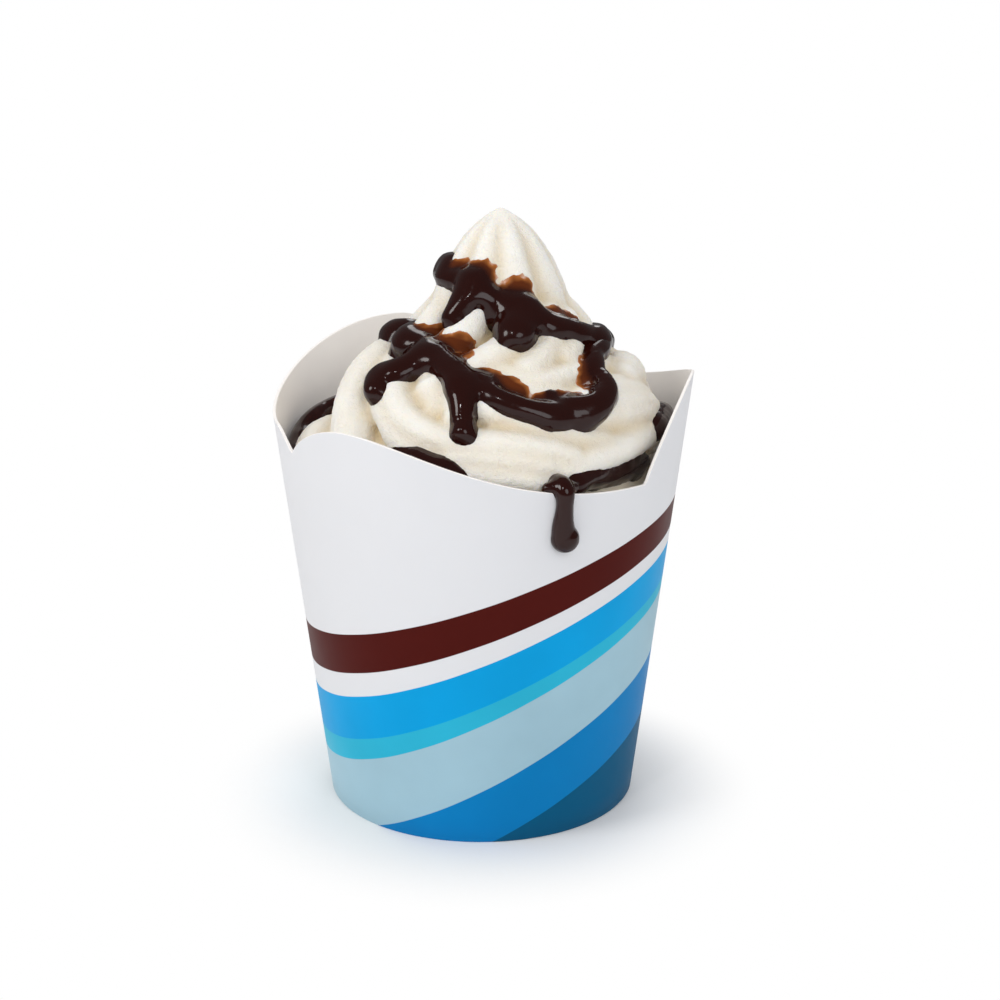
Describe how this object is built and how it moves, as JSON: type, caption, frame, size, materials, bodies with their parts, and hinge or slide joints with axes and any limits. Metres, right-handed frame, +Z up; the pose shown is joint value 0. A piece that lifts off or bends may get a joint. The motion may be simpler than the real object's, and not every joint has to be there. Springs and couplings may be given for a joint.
{
  "type": "ice cream sundae",
  "caption": "Soft-serve vanilla ice cream piped in a tall swirl, with glossy chocolate sauce, in a flared paper cup with curved rim flaps.",
  "frame": {"origin": "centre of the cup's round foot, on the surface it stands on", "axes": "+Z up along the cup's axis, -Y towards the front, where the rim is lowest and the sauce drips over it"},
  "size_m": [0.0823, 0.0812, 0.117],
  "materials": {
    "board": "coated paperboard, satin, white with printed curved bands",
    "vanilla": "soft-serve ice cream, satin, finely porous",
    "chocolate": "chocolate sauce, wet gloss"
  },
  "bodies": {
    "root": {"cup_wall": "board", "cup_base": "board", "ice_cream": "vanilla", "sauce_upper": "chocolate", "sauce_lower": "chocolate", "sauce_pool_left": "chocolate", "sauce_pool_front": "chocolate", "sauce_pool_right": "chocolate", "sauce_pool_back": "chocolate", "sauce_drip": "chocolate"}
  },
  "joints": []
}
